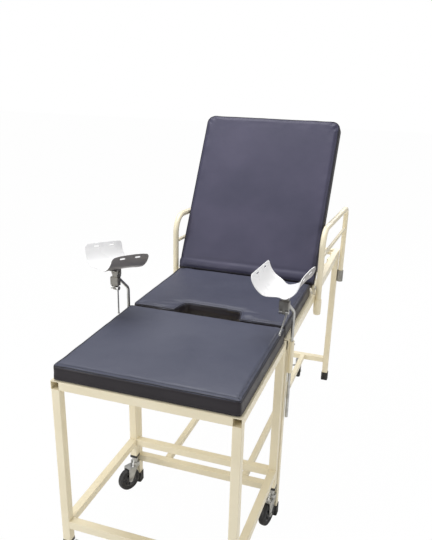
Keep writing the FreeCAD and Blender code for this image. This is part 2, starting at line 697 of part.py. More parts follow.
def clamp_lever(sign, axis_point):
    """The clamp's lever: a boss on each side of the ear, one pin through both, and a long bar."""
    half = LEVER_BOSS_LENGTH / 2
    gap = TONGUE_WIDTH / 4 + SEAT_CLEAR
    pin = cylinder(LEVER_PIN / 2, axis_point - X_AXIS * half, axis_point + X_AXIS * half)
    for direction in (-1, 1):
        inner = axis_point + X_AXIS * (direction * gap)
        outer = axis_point + X_AXIS * (direction * half)
        pin = pin.fuse(cylinder(LEVER_BOSS / 2 - 1, inner, outer))
    root = axis_point + X_AXIS * (half - LEVER_BAR)
    bar = cylinder(LEVER_BAR / 2, root, root - Z_AXIS * LEVER_LENGTH)
    tip = Part.makeSphere(LEVER_BAR * 0.7, root - Z_AXIS * LEVER_LENGTH)
    lever = pin.fuse(bar).fuse(tip)
    turn = RIGHT_LEVER_TURN if sign > 0 else LEFT_LEVER_TURN
    return turned(lever, X_AXIS, turn, axis_point)


def trough(centre, inner, outer, half_length):
    """Half of a round shell, open upwards, its axis along Y."""
    y0 = centre.y - half_length
    left = V(-1, 0, 0)
    pieces = []
    for radius in (outer, inner):
        start = centre + left * radius
        middle = centre - Z_AXIS * radius
        end = centre - left * radius
        edges = [Part.Arc(start, middle, end).toShape(), Part.LineSegment(end, start).toShape()]
        half_disc = Part.Face(Part.Wire(edges))
        half_disc.translate(V(0, y0 - centre.y, 0))
        pieces.append(half_disc)
    band = pieces[0].cut(pieces[1])
    return band.extrude(V(0, 2 * half_length, 0))


def saddle(sign, middle):
    """The knee saddle: a trough with a narrow waist, two rounded wings and four strap slots."""
    x, _ = rod_top(sign)
    bottom = TILT_HEIGHT + SADDLE_LIFT
    outer = SADDLE_RADIUS + SADDLE_WALL
    centre = V(x, middle, bottom + outer)
    shell = trough(centre, SADDLE_RADIUS, outer, SADDLE_HALF_LENGTH)
    reach = outer + 1
    left_x = x - reach
    belly = bottom + SADDLE_RADIUS * 0.52
    long = SADDLE_HALF_LENGTH
    waist = SADDLE_HALF_WAIST
    rim = bottom + outer - RIM_TRIM
    side = []
    for turn in (1, -1):
        low = V(left_x, middle + turn * waist, bottom - 1)
        out = V(left_x, middle + turn * long, belly)
        edge = V(left_x, middle + turn * long, rim - SADDLE_CORNER)
        high = V(left_x, middle + turn * (long - SADDLE_CORNER), rim)
        low_middle = V(left_x, middle + turn * (waist + (long - waist) * 0.62), bottom + SADDLE_RADIUS * 0.2)
        bend = SADDLE_CORNER * (1 - math.sqrt(0.5))
        high_middle = V(left_x, middle + turn * (long - bend), rim - bend)
        arcs = [Part.Arc(low, low_middle, out).toShape(), Part.LineSegment(out, edge).toShape(),
                Part.Arc(edge, high_middle, high).toShape()]
        side.append((arcs, low, high))
    (first, low_a, high_a), (second, low_b, high_b) = side
    rims = [Part.LineSegment(high_a, high_b).toShape(), Part.LineSegment(low_b, low_a).toShape()]
    edges = first + second + rims
    outline = Part.Face(Part.Wire(Part.__sortEdges__(edges)))
    shell = shell.common(outline.extrude(V(2 * reach, 0, 0)))
    slot_z = bottom + outer - SLOT_BELOW_EDGE
    for turn in (1, -1):
        y = middle + turn * SLOT_SPACING / 2
        slot = block(left_x, x + reach, y - SLOT_LENGTH / 2, y + SLOT_LENGTH / 2, slot_z - SLOT_WIDTH / 2,
                     slot_z + SLOT_WIDTH / 2)
        shell = shell.cut(slot)
    turn = RIGHT_SADDLE_TURN if sign > 0 else LEFT_SADDLE_TURN
    pivot = V(rod_top(sign)[0], rod_top(sign)[1], 0)
    plate = trough(centre, outer, outer + BRACKET_PLATE, SADDLE_HALF_WAIST * 0.7)
    half = TONGUE_WIDTH / 2 + BRACKET_GAP
    plate_half = half + BRACKET_PLATE
    reach = plate_half + BRACKET_PLATE
    window = block(x - reach, x + reach, middle - long, middle + long, bottom - outer, bottom + outer)
    bracket = plate.common(window)
    pin_end = plate_half + TILT_PIN / 2
    for direction in (-1, 1):
        inner_x = x + direction * half
        outer_x = x + direction * plate_half
        low_x = min(inner_x, outer_x)
        near = middle - TONGUE_RADIUS
        far = middle + TONGUE_RADIUS
        cheek = block(low_x, low_x + BRACKET_PLATE, near, far, TILT_HEIGHT, bottom + BRACKET_PLATE)
        cheek = cheek.cut(cylinder(outer, V(x, middle - long, centre.z), V(x, middle + long, centre.z)))
        eye = cylinder(TONGUE_RADIUS, V(inner_x, middle, TILT_HEIGHT), V(outer_x, middle, TILT_HEIGHT))
        head = across(TILT_PIN * 0.8, 1, middle, TILT_HEIGHT, outer_x, x + direction * pin_end)
        bracket = bracket.fuse(cheek).fuse(eye).fuse(head)
    pin = across(TILT_PIN / 2, 1, middle, TILT_HEIGHT, x - plate_half, x + plate_half)
    bracket = bracket.fuse(pin).removeSplitter()
    return turned(shell, Z_AXIS, turn, pivot), turned(bracket, Z_AXIS, turn, pivot)


def crutches():
    write("crutch_sockets", both_sides(crutch_socket))
    for name, sign in SIDES:
        x, y = rod_top(sign)
        turn = RIGHT_SADDLE_TURN if sign > 0 else LEFT_SADDLE_TURN
        clamp, middle, lever_axis = crutch_clamp(sign)
        shell, bracket = saddle(sign, middle)
        lever = clamp_lever(sign, lever_axis)
        write(name + "_crutch_lock_screw", [lock_screw(sign)])
        write(name + "_crutch_rod", [crutch_rod(sign)])
        write(name + "_crutch_clamp", [turned(clamp, Z_AXIS, turn, V(x, y, 0))])
        write(name + "_clamp_lever", [turned(lever, Z_AXIS, turn, V(x, y, 0))])
        write(name + "_saddle_bracket", [bracket])
        write(name + "_saddle", [shell])


# Castors and shoes

def castor_fork(x, y, wheel, width, turn):
    """Round-nosed crown, two tapering cheeks, kingpin and axle bolt; the wheel trails behind the swivel."""
    radius = wheel / 2
    trail = TRAIL * wheel / FOOT_WHEEL
    crown_low = wheel + CROWN_GAP
    crown_top = crown_low + 2 * CHEEK
    half = width / 2 + CHEEK_GAP
    trail_y = y + trail
    back = trail_y + AXLE
    fork = block(x - half - CHEEK, x + half + CHEEK, y, back, crown_low, crown_top)
    fork = fork.fuse(cylinder(half + CHEEK, V(x, y, crown_low), V(x, y, crown_top)))
    for direction in (-1, 1):
        inner = x + direction * half
        points = [V(inner, y, crown_low + CHEEK), V(inner, back, crown_low + CHEEK), V(inner, back, radius),
                  V(inner, trail_y - AXLE, radius)]
        cheek = polygon_prism(points, V(direction * CHEEK, 0, 0))
        eye = cylinder(AXLE, V(inner, trail_y, radius), V(inner + direction * CHEEK, trail_y, radius))
        fork = fork.fuse(cheek).fuse(eye)
    bolt_end = half + CHEEK + AXLE_HEAD
    bolt = cylinder(AXLE / 2, V(x - half - CHEEK, trail_y, radius), V(x + half + CHEEK, trail_y, radius))
    for direction in (-1, 1):
        start = V(x + direction * (half + CHEEK), trail_y, radius)
        bolt = bolt.fuse(cylinder(AXLE * 0.75, start, V(x + direction * bolt_end, trail_y, radius)))
    kingpin = cylinder(KINGPIN / 2, V(x, y, crown_low), V(x, y, crown_top + CUP_HEIGHT - SWIVEL_GAP))
    fork = fork.fuse(bolt).fuse(kingpin).removeSplitter()
    return turned(fork, Z_AXIS, turn, V(x, y, 0))


def castor_wheel(x, y, wheel, width, turn):
    """A solid tyre with chamfered shoulders and a raised hub, bored for the axle."""
    trail_y = y + TRAIL * wheel / FOOT_WHEEL
    radius = wheel / 2
    start = V(x - width / 2, trail_y, radius)
    end = V(x + width / 2, trail_y, radius)
    tyre = cylinder(radius, start, end)
    rims = [edge for edge in tyre.Edges if edge.Curve.TypeId == "Part::GeomCircle"]
    tyre = tyre.makeChamfer(WHEEL_CHAMFER, rims)
    for direction in (-1, 1):
        face = V(x + direction * width / 2, trail_y, radius)
        floor = face - X_AXIS * (direction * HUB_STEP)
        tyre = tyre.cut(tube_of(radius * 0.66, AXLE, floor, face))
    tyre = tyre.cut(cylinder(AXLE / 2 + RUNNING, start - X_AXIS, end + X_AXIS))
    return turned(tyre, Z_AXIS, turn, V(x, y, 0))


def castor_head(x, y, wheel, cup, top):
    """The swivel cup, and the stem that joins it to the leg's cap or to the crossbar."""
    crown_top = wheel + CROWN_GAP + 2 * CHEEK
    low = crown_top + SWIVEL_GAP
    head = cylinder(cup / 2, V(x, y, low), V(x, y, low + CUP_HEIGHT))
    head = head.fuse(cylinder(cup * 0.34, V(x, y, low), V(x, y, top)))
    return head.cut(cylinder(KINGPIN / 2 + RUNNING, V(x, y, low), V(x, y, crown_top + CUP_HEIGHT)))


def castor_set(name, x, y, wheel, width, turn):
    write(name + "_fork", [castor_fork(x, y, wheel, width, turn)])
    write(name + "_wheel", [castor_wheel(x, y, wheel, width, turn)])


def leg_cap(x, y, top, low):
    """The plug's flange below the tube's end."""
    half = LEG / 2 + WALL / 2
    cap = block(x - half, x + half, y - half, y + half, low, top)
    return cap.makeFillet(TUBE_CORNER, edges_along(cap, Z_AXIS))


def brake_pedal(x, y, turn, side):
    """A thin pedal on the fork's cheek; its pin stands on the outer cheek."""
    half = MAIN_WHEEL_WIDTH / 2 + CHEEK_GAP + CHEEK
    trail_y = y + TRAIL * MAIN_WHEEL / FOOT_WHEEL
    height = MAIN_WHEEL + CROWN_GAP - PEDAL_WIDTH / 2
    plate_x = x + side * (half + SEAT_CLEAR)
    edge = plate_x + side * PEDAL_THICKNESS
    eye = across(PEDAL_WIDTH / 2, 1, trail_y, height, plate_x, edge)
    reach = edge + side * PEDAL_LENGTH
    near = trail_y - PEDAL_WIDTH / 2
    low = height - PEDAL_THICKNESS / 2
    high = height + PEDAL_THICKNESS / 2
    arm = block(min(plate_x, reach), max(plate_x, reach), near, near + PEDAL_WIDTH, low, high)
    arm = arm.makeFillet(PEDAL_THICKNESS, [item for item in edges_along(arm, Z_AXIS)
                                           if abs(item.CenterOfMass.x - reach) < 0.1])
    return turned(eye.fuse(arm).removeSplitter(), Z_AXIS, turn, V(x, y, 0))


def castors():
    heads = []
    caps = []
    front = FOOT_END + LEG / 2
    rear = FOOT_BACK - LEG / 2
    places = (
        ("foot_castor_front_left", -1, front, FRONT_LEFT_TURN),
        ("foot_castor_front_right", 1, front, FRONT_RIGHT_TURN),
        ("foot_castor_rear_left", -1, rear, REAR_LEFT_TURN),
        ("foot_castor_rear_right", 1, rear, REAR_RIGHT_TURN),
    )
    for name, sign, y, turn in places:
        x = sign * FOOT_LEG_X
        castor_set(name, x, y, FOOT_WHEEL, FOOT_WHEEL_WIDTH, turn)
        heads.append(castor_head(x, y, FOOT_WHEEL, CUP, FOOT_LEG_END - CAP_HEIGHT))
        caps.append(leg_cap(x, y, FOOT_LEG_END, FOOT_LEG_END - CAP_HEIGHT))
    write("foot_castor_heads", heads)
    write("foot_leg_caps", caps)
    heads = []
    for name, sign, turn in (("left", -1, MAIN_LEFT_TURN), ("right", 1, MAIN_RIGHT_TURN)):
        x = sign * REAR_CASTOR_OFFSET
        castor_set("main_castor_" + name, x, REAR_LEG_Y, MAIN_WHEEL, MAIN_WHEEL_WIDTH, turn)
        heads.append(castor_head(x, REAR_LEG_Y, MAIN_WHEEL, LEG, MAIN_LOW_BAR))
        write("main_castor_" + name + "_pedal", [brake_pedal(x, REAR_LEG_Y, turn, 1)])
    write("main_castor_heads", heads)


def shoe(sign, y):
    x = sign * LEG_X
    half = LEG / 2 + RUNNING
    outer = half + SHOE_WALL
    body = block(x - outer, x + outer, y - outer, y + outer, 0, SHOE_HEIGHT)
    body = body.makeFillet(TUBE_CORNER + SHOE_WALL, edges_along(body, Z_AXIS))
    return body.cut(block(x - half, x + half, y - half, y + half, SHOE_SOLE, SHOE_HEIGHT))


foot_frame()
main_frame()
soft_parts()
back_frame()
back_deck()
hinge()
prop()
write("ratchet_racks", both_sides(rack))
for side_name, side_sign in SIDES:
    grab_rail(side_name, side_sign)
grab_mounts()
crutches()
castors()
write("rubber_shoes", [shoe(side_sign, y) for _, side_sign in SIDES for y in (FRONT_LEG_Y, REAR_LEG_Y)])
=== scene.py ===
import bpy
import bmesh
import json
import math
from mathutils import Matrix, Vector, noise
from mathutils.bvhtree import BVHTree


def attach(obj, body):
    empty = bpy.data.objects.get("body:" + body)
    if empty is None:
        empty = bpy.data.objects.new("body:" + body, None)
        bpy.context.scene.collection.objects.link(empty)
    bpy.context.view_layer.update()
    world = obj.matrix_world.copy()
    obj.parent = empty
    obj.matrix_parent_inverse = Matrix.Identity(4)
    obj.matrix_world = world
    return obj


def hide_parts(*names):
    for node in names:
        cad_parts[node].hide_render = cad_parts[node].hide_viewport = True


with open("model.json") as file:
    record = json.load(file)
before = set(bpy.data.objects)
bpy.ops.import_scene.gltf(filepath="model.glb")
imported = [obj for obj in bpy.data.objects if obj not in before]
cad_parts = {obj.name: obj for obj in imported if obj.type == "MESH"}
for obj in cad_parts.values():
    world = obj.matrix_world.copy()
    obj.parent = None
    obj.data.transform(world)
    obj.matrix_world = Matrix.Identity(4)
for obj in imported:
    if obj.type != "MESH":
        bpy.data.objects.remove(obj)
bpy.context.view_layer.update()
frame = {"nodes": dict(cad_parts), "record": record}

HALF_LENGTH = 0.920
PAD_BASE = 0.7865
PAD_TOP = 0.8415
MAIN_FRONT = -0.346
FOOT_BACK = -0.354
FOOT_HALF = 0.313
SEAT_HALF = 0.308
BACK_HALF = 0.319
BACK_LENGTH = 0.764
HINGE = Vector((0.0, 0.176, 0.812))
SEAT_BACK = HINGE.y - 0.0215
BACK_START = HINGE.y + 0.002
BACK_TURN = math.radians(59.6)
RAISE = Matrix.Translation(HINGE) @ Matrix.Rotation(BACK_TURN, 4, "X") @ Matrix.Translation(-HINGE)


# Camera

def set_camera():
    yaw = math.radians(-19.36)
    pitch = math.radians(21.27)
    roll = math.radians(1.04)
    forward = Vector((math.sin(yaw) * math.cos(pitch), math.cos(yaw) * math.cos(pitch), -math.sin(pitch)))
    right = Vector((math.cos(yaw), -math.sin(yaw), 0.0))
    up = right.cross(forward)
    across = right * math.cos(roll) + up * math.sin(roll)
    upward = up * math.cos(roll) - right * math.sin(roll)
    data = bpy.data.cameras.new("camera")
    data.lens = 42.05
    data.sensor_width = 36.0
    data.shift_x = 0.0224
    data.shift_y = 0.0567
    data.clip_end = 50.0
    camera = bpy.data.objects.new("camera", data)
    turn = Matrix((across, upward, -forward)).transposed().to_4x4()
    camera.matrix_world = Matrix.Translation((0.7187, -2.4173, 1.7480)) @ turn
    bpy.context.scene.collection.objects.link(camera)
    bpy.context.scene.camera = camera


set_camera()


# Node helpers

def new_material(name):
    material = bpy.data.materials.new(name)
    material.use_nodes = True
    tree = material.node_tree
    tree.nodes.clear()
    output = tree.nodes.new("ShaderNodeOutputMaterial")
    shader = tree.nodes.new("ShaderNodeBsdfPrincipled")
    tree.links.new(shader.outputs["BSDF"], output.inputs["Surface"])
    return material, tree, shader


def add_noise(tree, scale, detail=3.0, rough=0.5, stretch=None):
    place = tree.nodes.new("ShaderNodeTexCoord")
    node = tree.nodes.new("ShaderNodeTexNoise")
    node.inputs["Scale"].default_value = scale
    node.inputs["Detail"].default_value = detail
    node.inputs["Roughness"].default_value = rough
    if stretch:
        mapping = tree.nodes.new("ShaderNodeMapping")
        mapping.inputs["Scale"].default_value = stretch
        tree.links.new(place.outputs["Object"], mapping.inputs["Vector"])
        tree.links.new(mapping.outputs["Vector"], node.inputs["Vector"])
    else:
        tree.links.new(place.outputs["Object"], node.inputs["Vector"])
    return node.outputs["Fac"]


def ramp(tree, value, stops):
    node = tree.nodes.new("ShaderNodeValToRGB")
    points = node.color_ramp.elements
    while len(points) < len(stops):
        points.new(0.5)
    for point, (place, colour) in zip(points, stops):
        point.position = place
        point.color = (*colour, 1.0)
    tree.links.new(value, node.inputs["Fac"])
    return node.outputs["Color"]


def spread(tree, value, low, high):
    node = tree.nodes.new("ShaderNodeMapRange")
    node.inputs["From Min"].default_value = 0.3
    node.inputs["From Max"].default_value = 0.7
    node.inputs["To Min"].default_value = low
    node.inputs["To Max"].default_value = high
    tree.links.new(value, node.inputs["Value"])
    return node.outputs["Result"]


def bump(tree, shader, height, strength, distance, below=None):
    node = tree.nodes.new("ShaderNodeBump")
    node.inputs["Strength"].default_value = strength
    node.inputs["Distance"].default_value = distance
    tree.links.new(height, node.inputs["Height"])
    if below is not None:
        tree.links.new(below, node.inputs["Normal"])
    tree.links.new(node.outputs["Normal"], shader.inputs["Normal"])
    return node.outputs["Normal"]


def painted(name, colour, dark, rough, peel=0.12):
    """Baked enamel: a faint mottle, slightly uneven gloss and orange peel."""
    material, tree, shader = new_material(name)
    mottle = add_noise(tree, 6.0, 4.0)
    shade = ramp(tree, mottle, ((0.3, dark), (0.62, colour)))
    tree.links.new(shade, shader.inputs["Base Color"])
    gloss = spread(tree, add_noise(tree, 18.0), rough - 0.05, rough + 0.08)
    tree.links.new(gloss, shader.inputs["Roughness"])
    shader.inputs["Coat Weight"].default_value = 0.25
    shader.inputs["Coat Roughness"].default_value = 0.25
    bump(tree, shader, add_noise(tree, 420.0, 2.0), peel, 0.0006)
    return material


def metal(name, light, dark, rough, grain=(40.0, 40.0, 900.0)):
    """Plated or brushed steel with fine scratches and a few duller patches."""
    material, tree, shader = new_material(name)
    shader.inputs["Metallic"].default_value = 1.0
    patches = add_noise(tree, 30.0, 5.0)
    tree.links.new(ramp(tree, patches, ((0.35, dark), (0.6, light))), shader.inputs["Base Color"])
    scratch = add_noise(tree, 1.0, 3.0, 0.6, grain)
    tree.links.new(spread(tree, scratch, rough - 0.08, rough + 0.1), shader.inputs["Roughness"])
    bump(tree, shader, scratch, 0.08, 0.0003)
    return material


def rubber(name, colour, rough):
    material, tree, shader = new_material(name)
    dust = add_noise(tree, 45.0, 5.0)
    pale = tuple(min(1.0, value * 2.2 + 0.012) for value in colour)
    tree.links.new(ramp(tree, dust, ((0.4, colour), (0.75, pale))), shader.inputs["Base Color"])
    shader.inputs["Roughness"].default_value = rough
    bump(tree, shader, add_noise(tree, 900.0, 2.0), 0.15, 0.0004)
    return material


def vinyl(name, colour, worn, rough):
    """Upholstery vinyl: a fine pebbled grain under broad soft creases."""
    material, tree, shader = new_material(name)
    broad = add_noise(tree, 5.0, 3.0)
    tree.links.new(ramp(tree, broad, ((0.32, colour), (0.68, worn))), shader.inputs["Base Color"])
    tree.links.new(spread(tree, add_noise(tree, 9.0), rough - 0.05, rough + 0.07), shader.inputs["Roughness"])
    shader.inputs["Specular IOR Level"].default_value = 0.34
    place = tree.nodes.new("ShaderNodeTexCoord")
    cells = tree.nodes.new("ShaderNodeTexVoronoi")
    cells.inputs["Scale"].default_value = 620.0
    tree.links.new(place.outputs["Object"], cells.inputs["Vector"])
    grain = bump(tree, shader, cells.outputs["Distance"], 0.25, 0.0005)
    bump(tree, shader, add_noise(tree, 14.0, 4.0, 0.55), 0.25, 0.004, grain)
    return material


CREAM = painted("cream_enamel", (0.88, 0.80, 0.60), (0.84, 0.755, 0.55), 0.38)
WHITE = painted("white_enamel", (0.95, 0.95, 0.96), (0.92, 0.92, 0.93), 0.28, 0.05)
# The saddle's underside gets a grey copy of the white enamel: painted shade for the face that turns down and
# away from the lamps.
UNDERSIDE_PAINTED_SHADE = painted("underside_painted_shade", (0.31, 0.29, 0.285), (0.25, 0.235, 0.23), 0.42, 0.2)
PLATED = metal("plated_steel", (0.58, 0.58, 0.57), (0.40, 0.40, 0.39), 0.32)
GREY_STEEL = metal("grey_steel", (0.36, 0.35, 0.32), (0.24, 0.23, 0.21), 0.42, (60.0, 60.0, 60.0))
TYRE = rubber("tyre_rubber", (0.012, 0.012, 0.013), 0.55)
SHOE = rubber("shoe_rubber", (0.014, 0.013, 0.013), 0.62)
CAP = rubber("cap_plastic", (0.016, 0.016, 0.017), 0.42)
HUB = rubber("hub_plastic", (0.045, 0.045, 0.048), 0.4)
VINYL = vinyl("seat_vinyl", (0.050, 0.054, 0.086), (0.066, 0.070, 0.106), 0.46)
# The foot pad's vinyl is the seat vinyl made about a sixth lighter: painted light for the brighter look of
# the foot pad's top.
FOOT_VINYL_PAINTED_LIGHT = vinyl("foot_vinyl_painted_light", (0.058, 0.064, 0.100), (0.076, 0.082, 0.120), 0.46)
BACK_VINYL = vinyl("backrest_vinyl", (0.048, 0.047, 0.084), (0.066, 0.062, 0.106), 0.50)
SIDE_VINYL = vinyl("mattress_side", (0.015, 0.012, 0.016), (0.022, 0.018, 0.023), 0.42)
PIPING = vinyl("mattress_piping", (0.017, 0.017, 0.024), (0.024, 0.024, 0.032), 0.42)
THREAD = rubber("stitch_thread", (0.030, 0.031, 0.040), 0.7)

SLOTS = {
    "cream_paint": CREAM,
    "white_enamel": WHITE,
    "plated_steel": PLATED,
    "grey_steel": GREY_STEEL,
    "black_rubber": SHOE,
    "black_tyre": TYRE,
    "black_plastic": CAP,
    "navy_vinyl": VINYL,
}


def dress_frame():
    wanted = {entry["node"]: entry["material_slot"] for entry in frame["record"]["subparts"]}
    for name, node in frame["nodes"].items():
        node.data.materials.clear()
        node.data.materials.append(SLOTS[wanted[name]])


dress_frame()


# Stage and light

def stage():
    bpy.ops.mesh.primitive_plane_add(size=30.0, location=(0, 0, 0))
    floor = bpy.context.object
    floor.name = "floor"
    material = bpy.data.materials.new("floor_white")
    material.use_nodes = True
    tree = material.node_tree
    tree.nodes.clear()
    output = tree.nodes.new("ShaderNodeOutputMaterial")
    diffuse = tree.nodes.new("ShaderNodeBsdfDiffuse")
    diffuse.inputs["Color"].default_value = (0.86, 0.86, 0.86, 1)
    glow = tree.nodes.new("ShaderNodeEmission")
    glow.inputs["Strength"].default_value = 1.0
    mix = tree.nodes.new("ShaderNodeMixShader")
    rays = tree.nodes.new("ShaderNodeLightPath")
    share = tree.nodes.new("ShaderNodeMath")
    share.operation = "MULTIPLY"
    share.inputs[1].default_value = 0.985
    tree.links.new(rays.outputs["Is Camera Ray"], share.inputs[0])
    tree.links.new(share.outputs["Value"], mix.inputs["Fac"])
    tree.links.new(diffuse.outputs["BSDF"], mix.inputs[1])
    tree.links.new(glow.outputs["Emission"], mix.inputs[2])
    tree.links.new(mix.outputs["Shader"], output.inputs["Surface"])
    floor.data.materials.append(material)


def background():
    scene = bpy.context.scene
    world = bpy.data.worlds.new("studio")
    scene.world = world
    world.use_nodes = True
    tree = world.node_tree
    tree.nodes.clear()
    output = tree.nodes.new("ShaderNodeOutputWorld")
    fill = tree.nodes.new("ShaderNodeBackground")
    fill.inputs["Color"].default_value = (1.0, 0.99, 0.97, 1)
    fill.inputs["Strength"].default_value = 0.42
    white = tree.nodes.new("ShaderNodeBackground")
    white.inputs["Color"].default_value = (1.0, 1.0, 1.0, 1)
    white.inputs["Strength"].default_value = 1.0
    rays = tree.nodes.new("ShaderNodeLightPath")
    mix = tree.nodes.new("ShaderNodeMixShader")
    tree.links.new(rays.outputs["Is Camera Ray"], mix.inputs["Fac"])
    tree.links.new(fill.outputs["Background"], mix.inputs[1])
    tree.links.new(white.outputs["Background"], mix.inputs[2])
    tree.links.new(mix.outputs["Shader"], output.inputs["Surface"])
    scene.view_settings.view_transform = "Standard"


def lamp(name, place, target, size, power, colour=(1, 1, 1)):
    data = bpy.data.lights.new(name, "AREA")
    data.shape = "DISK"
    data.size = size
    data.energy = power
    data.color = colour
    light = bpy.data.objects.new(name, data)
    direction = Vector(target) - Vector(place)
    light.matrix_world = Matrix.Translation(place) @ direction.to_track_quat("-Z", "Y").to_matrix().to_4x4()
    bpy.context.scene.collection.objects.link(light)


stage()
background()
lamp("overhead", (-0.6, 0.4, 3.6), (0, 0, 0.8), 2.6, 78.0)
lamp("front_left", (-2.4, -3.2, 2.4), (0, 0, 0.8), 1.6, 62.0)
lamp("right_fill", (3.2, -1.0, 1.7), (0, 0, 0.6), 2.2, 22.0)
lamp("rear_fill", (0.5, 3.6, 2.4), (0, 0, 0.8), 2.0, 26.0)


# Mesh helpers

def link(name, mesh):
    obj = bpy.data.objects.new(name, mesh)
    bpy.context.scene.collection.objects.link(obj)
    return obj


def mesh_object(name, verts, faces, materials, smooth=True):
    mesh = bpy.data.meshes.new(name)
    mesh.from_pydata([tuple(v) for v in verts], [], faces)
    for material in materials:
        mesh.materials.append(material)
    if smooth:
        mesh.polygons.foreach_set("use_smooth", [True] * len(mesh.polygons))
    mesh.update()
    return link(name, mesh)


def apply_modifiers(obj):
    graph = bpy.context.evaluated_depsgraph_get()
    mesh = bpy.data.meshes.new_from_object(obj.evaluated_get(graph))
    obj.modifiers.clear()
    obj.data = mesh
    return obj


def fix_normals(obj):
    build = bmesh.new()
    build.from_mesh(obj.data)
    bmesh.ops.remove_doubles(build, verts=build.verts, dist=1e-6)
    bmesh.ops.recalc_face_normals(build, faces=build.faces)
    build.to_mesh(obj.data)
    build.free()
    obj.data.update()


# Mattresses

UPPER_SEAM = 0.0058
LOWER_SEAM = 0.0040
POCKET_END = 0.080
STITCH_INSET = 0.009
STITCH_PITCH = 0.0064
# Each fold's place along the back mattress, its width and its depth.
BACK_FOLDS = ((0.0, 0.016, 0.006), (0.058, 0.007, 0.0022), (0.040, 0.011, -0.0026))


def rounded_outline(half, y0, y1, corner, head_corner, step):
    """The pad's outline from above, as points about one step apart."""
    points = []
    turns = (
        (half - corner, y0 + corner, corner, -90.0),
        (half - head_corner, y1 - head_corner, head_corner, 0.0),
        (-half + head_corner, y1 - head_corner, head_corner, 90.0),
        (-half + corner, y0 + corner, corner, 180.0),
    )
    for x, y, radius, start in turns:
        count = max(4, int(radius * math.pi / 2 / step))
        for index in range(count + 1):
            angle = math.radians(start + 90.0 * index / count)
            points.append(Vector((x + radius * math.cos(angle), y + radius * math.sin(angle))))
    return points


def spaced(points, step, closed=True):
    """Points evenly spaced along a line of points."""
    line = points + [points[0]] if closed else points
    lengths = [0.0]
    for first, second in zip(line, line[1:]):
        lengths.append(lengths[-1] + (second - first).length)
    count = max(8, int(round(lengths[-1] / step)))
    result = []
    place = 0
    for index in range(count if closed else count + 1):
        wanted = lengths[-1] * index / count
        while place < len(lengths) - 2 and lengths[place + 1] < wanted:
            place += 1
        span = lengths[place + 1] - lengths[place]
        share = 0.0 if span == 0 else (wanted - lengths[place]) / span
        result.append(line[place].lerp(line[place + 1], share))
    return result


def extrude_outline(name, outline, z0, z1):
    mesh = bpy.data.meshes.new(name)
    build = bmesh.new()
    low = [build.verts.new((p.x, p.y, z0)) for p in outline]
    high = [build.verts.new((p.x, p.y, z1)) for p in outline]
    build.faces.new(list(reversed(low)))
    build.faces.new(high)
    count = len(outline)
    for index in range(count):
        after = (index + 1) % count
        build.faces.new((low[index], low[after], high[after], high[index]))
    bmesh.ops.triangulate(build, faces=[face for face in build.faces if len(face.verts) > 4])
    build.to_mesh(mesh)
    build.free()
    return link(name, mesh)


def puff(obj, voxel, pressure, cap, draw_in, frames=20):
    """Blows the pad up as cloth, and limits how far each point may rise, sink or draw in."""
    remesh = obj.modifiers.new("remesh", "REMESH")
    remesh.mode = "VOXEL"
    remesh.voxel_size = voxel
    apply_modifiers(obj)
    before = [v.co.copy() for v in obj.data.vertices]
    low = min(v.z for v in before)
    group = obj.vertex_groups.new(name="held")
    held = [index for index, v in enumerate(before) if v.z < low + voxel * 1.5]
    group.add(held, 1.0, "REPLACE")
    cloth = obj.modifiers.new("cloth", "CLOTH")
    cloth.settings.quality = 4
    cloth.settings.mass = 0.4
    cloth.settings.tension_stiffness = 25.0
    cloth.settings.compression_stiffness = 25.0
    cloth.settings.bending_stiffness = 4.0
    cloth.settings.use_pressure = True
    cloth.settings.uniform_pressure_force = pressure
    cloth.settings.vertex_group_mass = "held"
    cloth.settings.effector_weights.gravity = 0.0
    cloth.collision_settings.use_collision = False
    cloth.point_cache.frame_start = 1
    cloth.point_cache.frame_end = frames
    scene = bpy.context.scene
    for number in range(1, frames + 1):
        scene.frame_set(number)
    apply_modifiers(obj)
    scene.frame_set(1)
    for vertex, start in zip(obj.data.vertices, before):
        move = vertex.co - start
        aside = Vector((move.x, move.y, 0.0))
        if aside.length > draw_in:
            aside *= draw_in / aside.length
        vertex.co = start + aside + Vector((0.0, 0.0, max(-draw_in, min(cap, move.z))))


def dent(obj, marks):
    """Presses soft hollows and creases into the top: centre, radius, depth."""
    for vertex in obj.data.vertices:
        if vertex.co.z < PAD_TOP - 0.02:
            continue
        for x, y, rx, ry, depth in marks:
            away = ((vertex.co.x - x) / rx) ** 2 + ((vertex.co.y - y) / ry) ** 2
            if away < 6.0:
                vertex.co.z -= depth * math.exp(-away)


def crease(obj, seed, size, depth, edge):
    """Small puckers that run in from the edge seam and fade towards the middle."""
    for vertex in obj.data.vertices:
        x, y, z = vertex.co
        if z < PAD_TOP - 0.03:
            continue
        near = max(0.0, 1.0 - edge(x, y) / 0.055)
        if near == 0.0:
            continue
        wave = noise.noise(Vector((x * size, y * size, seed)))
        vertex.co.z += depth * near * (1.0 - near) * 4.0 * wave


def two_tone(obj, top, side):
    """The top panel and the border are cut from two vinyls; they meet at the upper seam."""
    obj.data.materials.clear()
    obj.data.materials.append(top)
    obj.data.materials.append(side)
    for polygon in obj.data.polygons:
        polygon.material_index = 0 if polygon.center.z > PAD_TOP - 0.0075 else 1
        polygon.use_smooth = True


